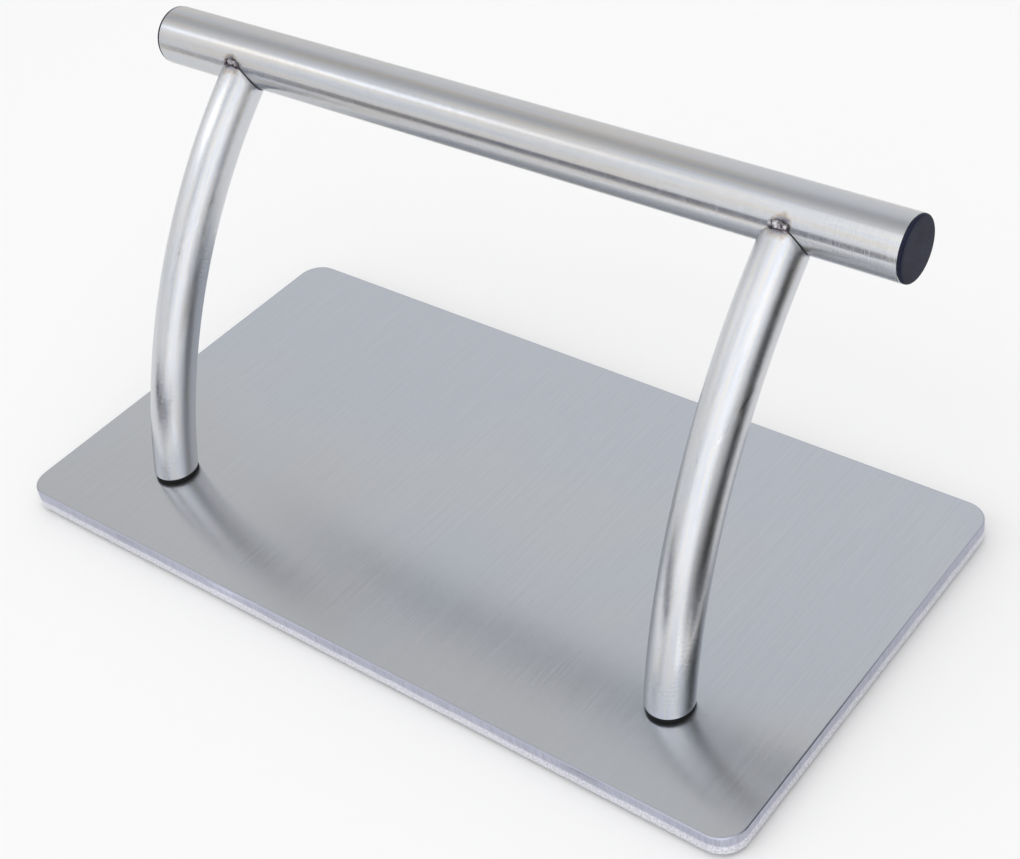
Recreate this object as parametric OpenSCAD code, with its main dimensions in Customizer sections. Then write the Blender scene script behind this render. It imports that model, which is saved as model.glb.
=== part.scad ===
// Salon floor footrest: a heavy plate, two bent tube legs and a straight foot bar.
// Millimetres. +X runs along the bar, +Y from the legs' feet towards the bar, +Z is up.
// The origin is on the floor, under the middle of the plate.
// The legs are bolted to the plate from below and tack-welded to the bar.

/* [Base plate] */
// Length of the plate, along the bar
plate_length = 420; // [400:5:520]
// Width of the plate, from the front edge to the back edge
plate_width = 220; // [205:5:300]
// Thickness of the plate
plate_thickness = 10; // [8:1:14]
// Radius of the plate's corners, seen from above
plate_corner_radius = 12.5; // [6:0.5:20]
// Chamfer on the plate's top and bottom edges
plate_chamfer = 0.6; // [0.3:0.1:1.5]

/* [Rubber pads under the plate] */
// Diameter of a pad
pad_diameter = 24; // [16:1:34]
// Thickness of a pad
pad_thickness = 2; // [1.5:0.5:4]
// Distance from the plate's edges to a pad's centre
pad_inset = 25; // [20:1:32]

/* [Legs] */
// Distance between the legs' centres
leg_spacing = 298; // [260:1:310]
// Distance from the plate's front edge to the legs' feet
leg_setback = 49; // [34:0.5:54]
// Outside diameter of the leg tube
leg_diameter = 22; // [21:0.5:24]
// Wall of the leg tube
leg_wall = 1.5; // [1.2:0.1:2]
// Angle that the leg tube is bent through
leg_bend = 41; // [30:1:52]

/* [Foot bar] */
// Outside diameter of the bar tube
bar_diameter = 28; // [27:0.5:32]
// Wall of the bar tube
bar_wall = 1.5; // [1.2:0.1:2]
// Length of the bar, over its end plugs
bar_length = 402; // [360:1:410]
// Height of the bar's centre above the plate's top face
bar_height = 177; // [170:1:210]
// Distance that the bar's centre stands behind the legs' feet
bar_offset = 111; // [95:1:116]
// Gap between the end of a leg and the bar, bridged by the tack welds
saddle_gap = 0.4; // [0.2:0.1:0.8]

/* [Bar end plugs] */
// Thickness of the plug's visible flange
plug_flange = 1.5; // [1:0.5:3]
// Depth that the plug goes into the bar
plug_depth = 12; // [10:1:20]
// Number of gripping ribs round the plug
plug_ribs = 3; // [2:1:3]

/* [Leg fixings] */
// Thickness of the rubber gasket under a leg
gasket_thickness = 2.5; // [1.5:0.5:4]
// Height of the tapped insert in a leg's foot
insert_height = 16; // [14:1:20]
// Length of the countersunk M8 screw, head included
screw_length = 25; // [20:1:26]

/* [Tack welds] */
// Radius of one weld ripple
ripple_radius = 2.3; // [1.8:0.1:2.8]
// Number of ripples in a tack
ripple_count = 4; // [3:1:5]
// Angle round the leg from one ripple to the next
ripple_step = 11; // [9:1:14]

/* [Hidden] */
$fn = 96;

left = -1;
right = 1;
front = -1;
back = 1;

steel_satin = "#AEB1B6";
steel_bar = "#C3C5C9";
steel_polished = "#D3D5D8";
steel_screw = "#9A9CA0";
steel_weld = "#7E7A78";
rubber_black = "#161616";
plastic_slate = "#33374A";

// Heights, from the floor up
plate_bottom = pad_thickness;
plate_top = plate_bottom + plate_thickness;
foot_z = plate_top + gasket_thickness;
bar_z = plate_top + bar_height;

// Depths, from front to back
foot_y = leg_setback - plate_width / 2;
bar_y = foot_y + bar_offset;

leg_x = leg_spacing / 2;
leg_radius = leg_diameter / 2;
leg_bore = leg_radius - leg_wall;
bar_radius = bar_diameter / 2;
bar_bore = bar_radius - bar_wall;
tube_length = bar_length - 2 * plug_flange;

// The leg's centre line is one arc, from the middle of its foot to the middle of the bar
chord = norm([bar_y - foot_y, bar_z - foot_z]);
chord_lean = atan2(bar_y - foot_y, bar_z - foot_z);
bend_radius = chord / (2 * sin(leg_bend / 2));
foot_lean = chord_lean - leg_bend / 2;
top_lean = chord_lean + leg_bend / 2;
bend_y = foot_y + bend_radius * cos(foot_lean);
bend_z = foot_z - bend_radius * sin(foot_lean);
foot_overrun = 4; // degrees of arc below the foot, cut off level
arc_steps = 720; // a long radius needs a fine step round its full circle
ring_steps = 96;
ripple_steps = 64;

// The leg's top end, as seen from the side: along the tube, and towards its outer curve
top_along = [0, sin(top_lean), cos(top_lean)];
top_outward = [0, -cos(top_lean), sin(top_lean)];

// M8 countersunk screw, hexagon socket
screw_radius = 4;
screw_hole_radius = 4.5;
screw_head_radius = 8;
screw_head_rim = 0.4;
screw_recess = 0.2;
screw_tip_chamfer = 0.8;
socket_width = 5;
socket_depth = 3;
thread_clearance = 0.05;
seat_clearance = 0.1;
insert_clearance = 0.05;

gasket_radius = leg_radius - 0.1;
gasket_edge = 0.5;
pad_edge = 0.4;

plug_flange_radius = bar_radius - 0.15;
plug_edge = 0.4;
plug_body_radius = bar_bore - 0.35;
plug_rib_radius = bar_bore - 0.03;
plug_wall = 1.5;
plug_rib_pitch = 3;

cut = 1; // overrun of a cutting solid past the face that it cuts

// Outline of a slab seen from its end, with chamfered corners
function slab_profile(half, thickness, chamfer) = [
    [-half + chamfer, 0],
    [half - chamfer, 0],
    [half, chamfer],
    [half, thickness - chamfer],
    [half - chamfer, thickness],
    [-half + chamfer, thickness],
    [-half, thickness - chamfer],
    [-half, chamfer]
];

// Half of that outline, to be turned about the Z axis
function disc_profile(radius, thickness, chamfer) = [
    [0, 0],
    [radius - chamfer, 0],
    [radius, chamfer],
    [radius, thickness - chamfer],
    [radius - chamfer, thickness],
    [0, thickness]
];

module disc(radius, thickness, chamfer) {
    rotate_extrude() polygon(disc_profile(radius, thickness, chamfer));
}

// Rounded rectangle with chamfered edges: two crossed slabs and four turned corners
module rounded_slab(length, width, thickness, radius, chamfer) {
    rotate([90, 0, 90])
        linear_extrude(length - 2 * radius, center = true)
            polygon(slab_profile(width / 2, thickness, chamfer));
    rotate([90, 0, 0])
        linear_extrude(width - 2 * radius, center = true)
            polygon(slab_profile(length / 2, thickness, chamfer));
    for (x = [left, right], y = [front, back])
        translate([x * (length / 2 - radius), y * (width / 2 - radius), 0])
            disc(radius, thickness, chamfer);
}

// Solid rod of the given radius along a leg's arc
module leg_arc(radius) {
    translate([0, bend_y, bend_z])
        rotate([90, 0, 90])
            rotate([0, 0, 180 - top_lean])
                rotate_extrude(angle = leg_bend + foot_overrun, $fn = arc_steps)
                    translate([bend_radius, 0])
                        circle(radius, $fn = ring_steps);
}

// Everything below the level of a leg's foot
module below_foot() {
    translate([-leg_diameter, foot_y - leg_diameter, foot_z - 2 * leg_diameter])
        cube([2 * leg_diameter, 3 * leg_diameter, 2 * leg_diameter]);
}

// Solid rod of the given radius along the bar
module bar_rod(radius, length) {
    translate([0, bar_y, bar_z])
        rotate([0, 90, 0])
            cylinder(r = radius, h = length, center = true);
}

// Hole in the plate for one leg screw, countersunk from below
module screw_hole() {
    seat_radius = screw_head_radius + seat_clearance;
    seat_start = plate_bottom + screw_recess + screw_head_rim;
    translate([0, foot_y, plate_bottom - cut])
        cylinder(r = screw_hole_radius, h = plate_thickness + 2 * cut);
    translate([0, foot_y, plate_bottom - cut])
        cylinder(r = seat_radius, h = cut + screw_recess + screw_head_rim);
    translate([0, foot_y, seat_start])
        cylinder(r1 = seat_radius, r2 = screw_radius, h = seat_radius - screw_radius);
}

module base_plate() {
    color(steel_satin)
        difference() {
            translate([0, 0, plate_bottom])
                rounded_slab(plate_length, plate_width, plate_thickness, plate_corner_radius, plate_chamfer);
            for (side = [left, right])
                translate([side * leg_x, 0, 0])
                    screw_hole();
        }
}

module foot_pad(side, end) {
    color(rubber_black)
        translate([side * (plate_length / 2 - pad_inset), end * (plate_width / 2 - pad_inset), 0])
            disc(pad_diameter / 2, pad_thickness, pad_edge);
}

// Bent tube, cut level at its foot and coped to the bar at its top
module leg(side) {
    color(steel_polished)
        translate([side * leg_x, 0, 0])
            difference() {
                leg_arc(leg_radius);
                leg_arc(leg_bore);
                below_foot();
                bar_rod(bar_radius + saddle_gap, 2 * leg_diameter);
            }
}

// Tapped steel plug in the leg's foot, flush with the cut end
module leg_insert(side) {
    color(steel_screw)
        translate([side * leg_x, 0, 0])
            difference() {
                leg_arc(leg_bore - insert_clearance);
                below_foot();
                translate([-leg_diameter, foot_y - leg_diameter, foot_z + insert_height])
                    cube([2 * leg_diameter, bar_offset + 3 * leg_diameter, bar_height]);
                translate([0, foot_y, foot_z - cut])
                    cylinder(r = screw_radius + thread_clearance, h = insert_height + 2 * cut);
            }
}

module leg_gasket(side) {
    color(rubber_black)
        translate([side * leg_x, foot_y, plate_top])
            difference() {
                disc(gasket_radius, gasket_thickness, gasket_edge);
                translate([0, 0, -cut])
                    cylinder(r = screw_hole_radius, h = gasket_thickness + 2 * cut);
            }
}

module fixing_screw(side) {
    head_cone = screw_head_rim + screw_head_radius - screw_radius;
    color(steel_screw)
        translate([side * leg_x, foot_y, plate_bottom + screw_recess])
            difference() {
                rotate_extrude()
                    polygon([
                        [0, 0],
                        [screw_head_radius, 0],
                        [screw_head_radius, screw_head_rim],
                        [screw_radius, head_cone],
                        [screw_radius, screw_length - screw_tip_chamfer],
                        [screw_radius - screw_tip_chamfer, screw_length],
                        [0, screw_length]
                    ]);
                translate([0, 0, -cut])
                    cylinder(d = socket_width / cos(30), h = socket_depth + cut, $fn = 6);
            }
}

module foot_bar() {
    color(steel_bar)
        difference() {
            bar_rod(bar_radius, tube_length);
            bar_rod(bar_bore, tube_length + 2 * cut);
        }
}

// Push-in plug: flange outside, hollow ribbed body inside the tube
module bar_end_plug(side) {
    color(plastic_slate)
        translate([side * tube_length / 2, bar_y, bar_z])
            rotate([0, side * 90, 0])
                difference() {
                    union() {
                        disc(plug_flange_radius, plug_flange, plug_edge);
                        translate([0, 0, -plug_depth])
                            cylinder(r = plug_body_radius, h = plug_depth + plug_flange / 2);
                        for (i = [1 : plug_ribs])
                            translate([0, 0, -i * plug_rib_pitch])
                                cylinder(r = plug_rib_radius, h = plug_rib_pitch / 3);
                    }
                    translate([0, 0, -plug_depth - cut])
                        cylinder(r = plug_body_radius - plug_wall, h = plug_depth + cut);
                }
}

// Middle of the seam between leg and bar, at an angle round the leg from its front or rear line
function seam_point(angle, face) =
    let (out = leg_radius * cos(angle), down = sqrt(pow(bar_radius, 2) - pow(out, 2)))
    [leg_radius * sin(angle), bar_y, bar_z] - face * out * top_outward - down * top_along;

// Short run of ripples on the seam, resting on both tubes
module tack_weld(side, face) {
    color(steel_weld)
        translate([side * leg_x, 0, 0])
            difference() {
                for (i = [0 : ripple_count - 1])
                    translate(seam_point((i - (ripple_count - 1) / 2) * ripple_step, face))
                        sphere(r = ripple_radius, $fn = ripple_steps);
                bar_rod(bar_radius, 2 * leg_diameter);
                leg_arc(leg_radius);
            }
}

base_plate();
foot_pad(left, front);  // foot_pad_front_left
foot_pad(right, front);  // foot_pad_front_right
foot_pad(left, back);  // foot_pad_back_left
foot_pad(right, back);  // foot_pad_back_right
leg(left);  // leg_left
leg(right);  // leg_right
leg_insert(left);  // leg_insert_left
leg_insert(right);  // leg_insert_right
leg_gasket(left);  // leg_gasket_left
leg_gasket(right);  // leg_gasket_right
fixing_screw(left);  // fixing_screw_left
fixing_screw(right);  // fixing_screw_right
foot_bar();
bar_end_plug(left);  // bar_end_plug_left
bar_end_plug(right);  // bar_end_plug_right
tack_weld(left, front);  // tack_weld_front_left
tack_weld(right, front);  // tack_weld_front_right
tack_weld(left, back);  // tack_weld_rear_left
tack_weld(right, back);  // tack_weld_rear_right
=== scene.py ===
import math

import bmesh
import bpy
from mathutils import Matrix, Vector


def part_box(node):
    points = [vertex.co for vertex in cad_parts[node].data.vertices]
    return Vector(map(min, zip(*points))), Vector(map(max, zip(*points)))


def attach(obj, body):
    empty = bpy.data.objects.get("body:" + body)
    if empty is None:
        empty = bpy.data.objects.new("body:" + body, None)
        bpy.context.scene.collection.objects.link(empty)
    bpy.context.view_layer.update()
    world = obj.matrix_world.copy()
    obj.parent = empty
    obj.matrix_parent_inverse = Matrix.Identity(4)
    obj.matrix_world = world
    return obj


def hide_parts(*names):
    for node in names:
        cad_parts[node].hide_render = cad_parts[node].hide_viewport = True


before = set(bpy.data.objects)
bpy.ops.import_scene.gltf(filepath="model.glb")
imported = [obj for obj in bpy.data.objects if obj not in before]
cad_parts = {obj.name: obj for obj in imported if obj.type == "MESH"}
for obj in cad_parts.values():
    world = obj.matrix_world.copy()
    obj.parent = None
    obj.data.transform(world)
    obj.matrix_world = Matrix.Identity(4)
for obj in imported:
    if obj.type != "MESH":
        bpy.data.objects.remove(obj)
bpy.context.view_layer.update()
print("frame loaded:", len(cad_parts), "CAD nodes")

mm = 0.001
tau = 2 * math.pi
together = 0.0005 * mm          # points closer than this are one point
noiseRange = {"From Min": 0.3, "From Max": 0.7}     # where nearly all values of a noise lie


# middle and size of a CAD node's box

def middle(node):
    low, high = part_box(node)
    return (low + high) / 2


def span(node):
    low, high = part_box(node)
    return high - low


plateLow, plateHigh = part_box("base_plate")
plateSize = plateHigh - plateLow
barSize = span("foot_bar")
barCentre = middle("foot_bar")
barRadius = barSize.z / 2
tubeEnd = barSize.x / 2
legX = middle("leg_right").x
legRadius = span("leg_right").x / 2
footY = middle("leg_gasket_right").y
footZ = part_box("leg_gasket_right")[1].z

# the legs' arc runs from the middle of the foot to the middle of the bar
legSet = {
    "bend": math.radians(41),   # angle that the tube is bent through
    "wall": 1.5 * mm,
    "saddleGap": 0.4 * mm,      # between the coped end and the bar
    "around": 96,               # steps round the tube
    "along": 90,                # steps along the tube
    "edgeRound": 0.25 * mm,
    "edgeSteps": 3,
    "sharpAngle": 50,           # degrees
}
chordY = barCentre.y - footY
chordZ = barCentre.z - footZ
bendRadius = math.hypot(chordY, chordZ) / (2 * math.sin(legSet["bend"] / 2))
chordLean = math.atan2(chordY, chordZ)
footLean = chordLean - legSet["bend"] / 2
topLean = chordLean + legSet["bend"] / 2
bendY = footY + bendRadius * math.cos(footLean)
bendZ = footZ - bendRadius * math.sin(footLean)


def linear(colour):
    # an sRGB hex colour, or the plain tone of a lamp, as the linear colour that shaders take
    if not isinstance(colour, str):
        return (colour, colour, colour, 1.0)
    parts = [int(colour[i:i + 2], 16) / 255 for i in (1, 3, 5)]
    return tuple(c / 12.92 if c <= 0.04045 else ((c + 0.055) / 1.055) ** 2.4 for c in parts) + (1.0,)


def add(tree, kind, inputs=None, stops=None, **settings):
    # a node with its settings, its inputs (values, nodes or sockets) and a colour ramp's stops
    node = tree.nodes.new(kind)
    for name, value in settings.items():
        setattr(node, name, value)
    for key, value in (inputs or {}).items():
        names = [socket.name if socket.enabled else "" for socket in node.inputs]
        place = key if isinstance(key, int) else names.index(key)
        if isinstance(value, bpy.types.Node):
            value = next(output for output in value.outputs if output.enabled)
        if isinstance(value, bpy.types.NodeSocket):
            tree.links.new(value, node.inputs[place])
        else:
            node.inputs[place].default_value = value
    for i, (position, colour) in enumerate(stops or ()):
        ramp = node.color_ramp.elements
        element = ramp[i] if i < 2 else ramp.new(1.0)
        element.position = position
        element.color = linear(colour)
    return node


def newMaterial(name):
    material = bpy.data.materials.new(name)
    material.use_nodes = True
    material.node_tree.nodes.clear()
    return material, material.node_tree


def meshFromRings(name, rings, uvOf=None):
    # skin between closed rings of equal count; points that fall together become one
    mesh = bpy.data.meshes.new(name)
    bm = bmesh.new()
    uvLayer = bm.loops.layers.uv.new("UVMap")
    rows = [[bm.verts.new(p) for p in ring] for ring in rings]
    count = len(rings[0])
    for i in range(len(rows) - 1):
        for j in range(count):
            k = (j + 1) % count
            face = bm.faces.new((rows[i][j], rows[i][k], rows[i + 1][k], rows[i + 1][j]))
            if uvOf:
                for loop, (a, b) in zip(face.loops, ((i, j), (i, j + 1), (i + 1, j + 1), (i + 1, j))):
                    loop[uvLayer].uv = uvOf(a, b)
    bmesh.ops.remove_doubles(bm, verts=bm.verts, dist=together)
    bmesh.ops.dissolve_degenerate(bm, edges=bm.edges, dist=together)
    bmesh.ops.recalc_face_normals(bm, faces=bm.faces)
    bm.to_mesh(mesh)
    bm.free()
    return mesh


def smoothShade(mesh, sharpAngle):
    # smooth, but for edges sharper than an angle in degrees
    mesh.shade_smooth()
    mesh.set_sharp_from_angle(angle=math.radians(sharpAngle))


def addObject(name, data):
    thing = bpy.data.objects.new(name, data)
    bpy.context.scene.collection.objects.link(thing)
    return thing


def arc(centre, radius, start, end, steps):
    # points of a flat arc, angles in degrees
    points = []
    for i in range(steps + 1):
        a = math.radians(start + (end - start) * i / steps)
        points.append((centre[0] + radius * math.cos(a), centre[1] + radius * math.sin(a)))
    return points


def turned(profile, steps, place, radiusAt=None):
    # rings of a profile of (radius, height), turned about a place's local Z
    rings = []
    for index, (radius, height) in enumerate(profile):
        ring = []
        for j in range(steps):
            a = tau * j / steps
            r = radiusAt(index, radius, a) if radiusAt else radius
            ring.append(place @ Vector((r * math.cos(a), r * math.sin(a), height)))
        rings.append(ring)
    return rings


def applyModifiers(thing):
    # what the modifiers make becomes the plain mesh
    depsgraph = bpy.context.evaluated_depsgraph_get()
    made = bpy.data.meshes.new_from_object(thing.evaluated_get(depsgraph))
    old = thing.data
    thing.modifiers.clear()
    thing.data = made
    bpy.data.meshes.remove(old)
    return thing


def setMaterial(thing, *materials):
    thing.data.materials.clear()
    for material in materials:
        thing.data.materials.append(material)


def finishPiece(thing, node):
    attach(thing, "root")
    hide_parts(node)


def ringPiece(name, rings, sharpAngle, material, node, uvOf=None):
    mesh = meshFromRings(name, rings, uvOf)
    smoothShade(mesh, sharpAngle)
    piece = addObject(name, mesh)
    setMaterial(piece, material)
    finishPiece(piece, node)


cameraSet = {
    "azimuth": 43.75,       # degrees, from the front towards +X
    "elevation": 39.42,
    "roll": -9.4,
    "distance": 872.6 * mm,
    "lens": 64.9,
    "sensor": 36,
    "target": Vector((3.4, 22.9, 39.2)) * mm,
}


def makeCamera():
    a = math.radians(cameraSet["azimuth"])
    e = math.radians(cameraSet["elevation"])
    r = math.radians(cameraSet["roll"])
    back = Vector((math.sin(a) * math.cos(e), -math.cos(a) * math.cos(e), math.sin(e)))
    across = Vector((0, 0, 1)).cross(back).normalized()
    up = back.cross(across)
    localX = across * math.cos(r) + up * math.sin(r)
    localY = up * math.cos(r) - across * math.sin(r)
    data = bpy.data.cameras.new("camera")
    data.lens = cameraSet["lens"]
    data.sensor_width = cameraSet["sensor"]
    camera = addObject("camera", data)
    turn = Matrix((localX, localY, back)).transposed().to_4x4()
    camera.matrix_world = Matrix.Translation(cameraSet["target"] + back * cameraSet["distance"]) @ turn
    bpy.context.scene.camera = camera


studio = {
    "floorColour": "#F4F4F4",
    "floorSize": 12.0,          # metres
    "seenColour": "#FAFAFA",    # what the camera sees beyond the floor
    # soft boxes round the horizon: azimuth in degrees from the front towards +X, tone
    "ring": [(-180, 0.85), (-100, 0.8), (-62, 0.85), (-30, 0.9), (-12, 1.0), (25, 1.05), (38, 1.0), (44, 0.6),
             (58, 0.5), (68, 0.75), (85, 0.9), (100, 0.7), (130, 0.75), (180, 0.85)],
    # arch of soft boxes over the object: angle in degrees from the front over to the back, tone
    "arch": [(0, 0.7), (4, 0.8), (15, 1.0), (27, 1.08), (38, 1.14), (50, 1.2), (60, 1.06),
             (73, 0.84), (85, 0.67), (98, 0.53), (112, 0.58), (124, 0.74), (145, 0.83), (180, 0.88)],
    # a narrow bright box high in front: how it comes and goes over the same angle, and its ends and
    # their softness as sines towards +X
    "slit": [(41, 0.0), (48, 1.0), (52, 1.0), (60, 0.0)],
    "slitTone": 1.3,
    "slitEnds": (-0.54, -0.32),
    "slitSoft": 0.13,
    "ringTop": 0.14,            # sines of the heights between which the ring gives way to the arch
    "archLow": 0.41,
    "domePower": 2.0,
    "fillPower": 14.0,          # watts
    "fillSize": 3.0,            # metres
    "fillHeight": 2.0,
    # boards and boxes beside the set, seen only in reflections: four corners in millimetres, and
    # a tone or a colour
    "boards": {
        "flagRight": (((330, -125, 0), (330, 45, 0), (330, 285, 400), (330, 115, 400)), 0.0),
        "darkFloorRight": (((246, -75, 1), (340, -100, 1), (340, 50, 1), (246, 0, 1)), 0.08),
        "greyFloorRight": (((262, -122, 1), (1150, -1000, 1), (1500, -300, 1), (345, -104, 1)), 0.35),
        "darkFloorFront": (((-480, -320, 1), (110, -320, 1), (-80, -1300, 1), (-1200, -1300, 1)),
                           "#2C2C48"),
        "strapEdge": (((-250, -1065, 0), (-190, -1065, 0), (-80, -125, 539), (-140, -125, 539)), 0.0),
        "strapFloorLeft": (((-153, -118, 2), (-141, -118, 2), (-190, -1065, 2), (-250, -1065, 2)), 0.5),
        "strapFloorRight": (((126, -118, 2), (142, -118, 2), (-165, -1065, 2), (-225, -1065, 2)), 0.4),
        "boxFront": (((-190, -1065, 0), (880, -1065, 0), (560, -125, 539), (-80, -125, 539)), 1.3),
        "boxEdge": (((780, -1060, 0), (860, -1060, 0), (420, -120, 539), (340, -120, 539)), 2.2),
        "lineFloorLeft": (((-90, -118, 2), (-70, -118, 2), (850, -1060, 2), (760, -1060, 2)), 1.8),
        "lineFloorRight": (((207, -118, 2), (233, -118, 2), (860, -1060, 2), (770, -1060, 2)), 1.8),
    },
}


def makeDome():
    # one soft dome: a ring of boxes at the horizon gives way to an arch of boxes overhead, and a
    # narrow slit of light is added to it
    world = bpy.data.worlds.new("studioDome")
    bpy.context.scene.world = world
    world.use_nodes = True
    tree = world.node_tree
    tree.nodes.clear()
    direction = add(tree, "ShaderNodeTexCoord").outputs["Generated"]
    x, y, z = add(tree, "ShaderNodeSeparateXYZ", {0: direction}).outputs
    forward = add(tree, "ShaderNodeMath", {0: y, 1: -1.0}, operation="MULTIPLY")
    height = add(tree, "ShaderNodeMath", {0: z}, operation="ABSOLUTE")
    azimuth = add(tree, "ShaderNodeMath", {0: x, 1: forward}, operation="ARCTAN2")
    over = add(tree, "ShaderNodeMath", {0: height, 1: forward}, operation="ARCTAN2")
    round01 = add(tree, "ShaderNodeMapRange", {"Value": azimuth, "From Min": -math.pi, "From Max": math.pi})
    over01 = add(tree, "ShaderNodeMapRange", {"Value": over, "From Min": 0.0, "From Max": math.pi})
    power = studio["domePower"]
    ring = add(tree, "ShaderNodeValToRGB", {"Fac": round01},
               [((angle + 180) / 360, tone / power) for angle, tone in studio["ring"]])
    arch = add(tree, "ShaderNodeValToRGB", {"Fac": over01},
               [(angle / 180, tone / power) for angle, tone in studio["arch"]])
    share = add(tree, "ShaderNodeMapRange",
                {"Value": height, "From Min": studio["ringTop"], "From Max": studio["archLow"]},
                interpolation_type="SMOOTHSTEP")
    tone = add(tree, "ShaderNodeMix", {"Factor": share, "A": ring, "B": arch}, data_type="RGBA")
    slit = add(tree, "ShaderNodeValToRGB", {"Fac": over01}, [(angle / 180, t) for angle, t in studio["slit"]])
    low, high = studio["slitEnds"]
    soft = studio["slitSoft"]
    comes = add(tree, "ShaderNodeMapRange", {"Value": x, "From Min": low - soft, "From Max": low})
    goes = add(tree, "ShaderNodeMapRange", {"Value": x, "From Min": high + soft, "From Max": high})
    ends = add(tree, "ShaderNodeMath", {0: comes, 1: goes}, operation="MULTIPLY")
    extra = add(tree, "ShaderNodeMath", {0: ends, 1: studio["slitTone"] / power}, operation="MULTIPLY")
    bright = add(tree, "ShaderNodeVectorMath", {0: slit, "Scale": extra}, operation="SCALE")
    tone = add(tree, "ShaderNodeVectorMath", {0: tone, 1: bright}, operation="ADD")
    lit = add(tree, "ShaderNodeBackground", {"Color": tone, "Strength": power})
    seen = add(tree, "ShaderNodeBackground", {"Color": linear(studio["seenColour"])})
    isCamera = add(tree, "ShaderNodeLightPath").outputs["Is Camera Ray"]
    both = add(tree, "ShaderNodeMixShader", {0: isCamera, 1: lit, 2: seen})
    add(tree, "ShaderNodeOutputWorld", {"Surface": both})


def flatMesh(name, corners):
    mesh = bpy.data.meshes.new(name)
    mesh.from_pydata([Vector(corner) * mm for corner in corners], [], [(0, 1, 2, 3)])
    return mesh


def makeStudio():
    bpy.context.scene.view_settings.view_transform = "Standard"
    makeDome()
    for name, (corners, tone) in studio["boards"].items():
        board = addObject(name, flatMesh(name, corners))
        material, tree = newMaterial(name)
        light = add(tree, "ShaderNodeEmission", {"Color": linear(tone)})
        add(tree, "ShaderNodeOutputMaterial", {"Surface": light})
        setMaterial(board, material)
        for ray in ("camera", "diffuse", "shadow", "transmission", "volume_scatter"):
            setattr(board, f"visible_{ray}", False)

    # floor of matt white painted board
    half = studio["floorSize"] / mm / 2
    corners = [(x * half, y * half, 0) for x, y in ((-1, -1), (1, -1), (1, 1), (-1, 1))]
    floor = addObject("floor", flatMesh("floor", corners))
    material, tree = newMaterial("mattWhiteBoard")
    paint = add(tree, "ShaderNodeBsdfDiffuse", {"Color": linear(studio["floorColour"])})
    add(tree, "ShaderNodeOutputMaterial", {"Surface": paint})
    setMaterial(floor, material)

    # a wide fill from above that only matt surfaces take
    data = bpy.data.lights.new("fill", "AREA")
    data.shape = "DISK"
    data.size = studio["fillSize"]
    data.energy = studio["fillPower"]
    fill = addObject("fill", data)
    fill.location.z = studio["fillHeight"]
    fill.visible_glossy = False
    fill.visible_camera = False


plateFinish = {
    "cool": "#C8CDD6",
    "plain": "#CBCED3",
    "warm": "#CBCDD1",
    "lineGap": 0.7 * mm,        # real grit lines are near 0.05 mm apart, too fine to show
    "lineLength": 33 * mm,
    "lineTone": 0.03,
    "lineDepth": 0.02 * mm,
    "lineBump": 0.15,
    "patchesPerMetre": 9.0,
    "drift": 2.2,               # how fast the tint goes from warm to cool towards the back, per metre
    "roughness": 0.23,
    "roughnessSpread": 0.02,
    "smear": 0.9,
}


def brushedSheet():
    # stainless sheet, belt-brushed front to back: fine lines that smear reflections along X
    # and leave them crisp along Y; a trace bluer towards the back
    material, tree = newMaterial("brushedStainlessSheet")
    f = plateFinish
    place = add(tree, "ShaderNodeTexCoord").outputs["Object"]
    along = 1 / f["lineLength"]
    stretch = add(tree, "ShaderNodeMapping", {"Vector": place, "Scale": (1 / f["lineGap"], along, along)})
    lines = add(tree, "ShaderNodeTexNoise",
                {"Vector": stretch, "Scale": 1.0, "Detail": 4.0, "Roughness": 0.6})
    patches = add(tree, "ShaderNodeTexNoise",
                  {"Vector": place, "Scale": f["patchesPerMetre"], "Detail": 2.0})
    y = add(tree, "ShaderNodeSeparateXYZ", {0: place}).outputs[1]
    drift = add(tree, "ShaderNodeMath", {0: y, 1: f["drift"], 2: patches}, operation="MULTIPLY_ADD")
    tint = add(tree, "ShaderNodeValToRGB", {"Fac": drift},
               [(0.28, f["warm"]), (0.45, f["plain"]), (0.62, f["cool"])])
    tone = add(tree, "ShaderNodeMapRange", {
        "Value": lines, **noiseRange,
        "To Min": 1 - f["lineTone"], "To Max": 1 + f["lineTone"]})
    colour = add(tree, "ShaderNodeVectorMath", {0: tint, "Scale": tone}, operation="SCALE")
    rough = add(tree, "ShaderNodeMapRange", {
        "Value": lines, **noiseRange,
        "To Min": f["roughness"] - f["roughnessSpread"], "To Max": f["roughness"] + f["roughnessSpread"]})
    bump = add(tree, "ShaderNodeBump",
               {"Height": lines, "Strength": f["lineBump"], "Distance": f["lineDepth"]})
    tangent = add(tree, "ShaderNodeTangent", direction_type="UV_MAP", uv_map="UVMap")
    shader = add(tree, "ShaderNodeBsdfPrincipled", {
        "Base Color": colour, "Metallic": 1.0, "Roughness": rough, "Anisotropic": f["smear"],
        "Normal": bump, "Tangent": tangent})
    add(tree, "ShaderNodeOutputMaterial", {"Surface": shader})
    return material


edgeFinish = {
    "split": 0.5,               # share of the height below which the edge is torn
    "wander": 1.2 * mm,         # how far that border wanders up and down
    "wandersPerMetre": 60.0,
    "borderSoft": 0.6 * mm,
    "rim": 0.7 * mm,            # height of the rim under the top face, painted one even highlight tone
    "torn": [(0.35, "#C6C6CE"), (0.6, "#EDEDF3")],
    "burnished": [(0.35, "#A9ABBA"), (0.65, "#BFC1D0")],
    # painted highlight: the even colour of the rim under the top face
    "rimHighlightColour": "#B6B8C6",
    "specksPerMetre": 900,
    "streaksPerMetre": (900, 900, 60),
    "roughness": (0.5, 0.36),   # torn, burnished
    "relief": 0.35,
    "reliefDepth": 0.08 * mm,
}


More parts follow.
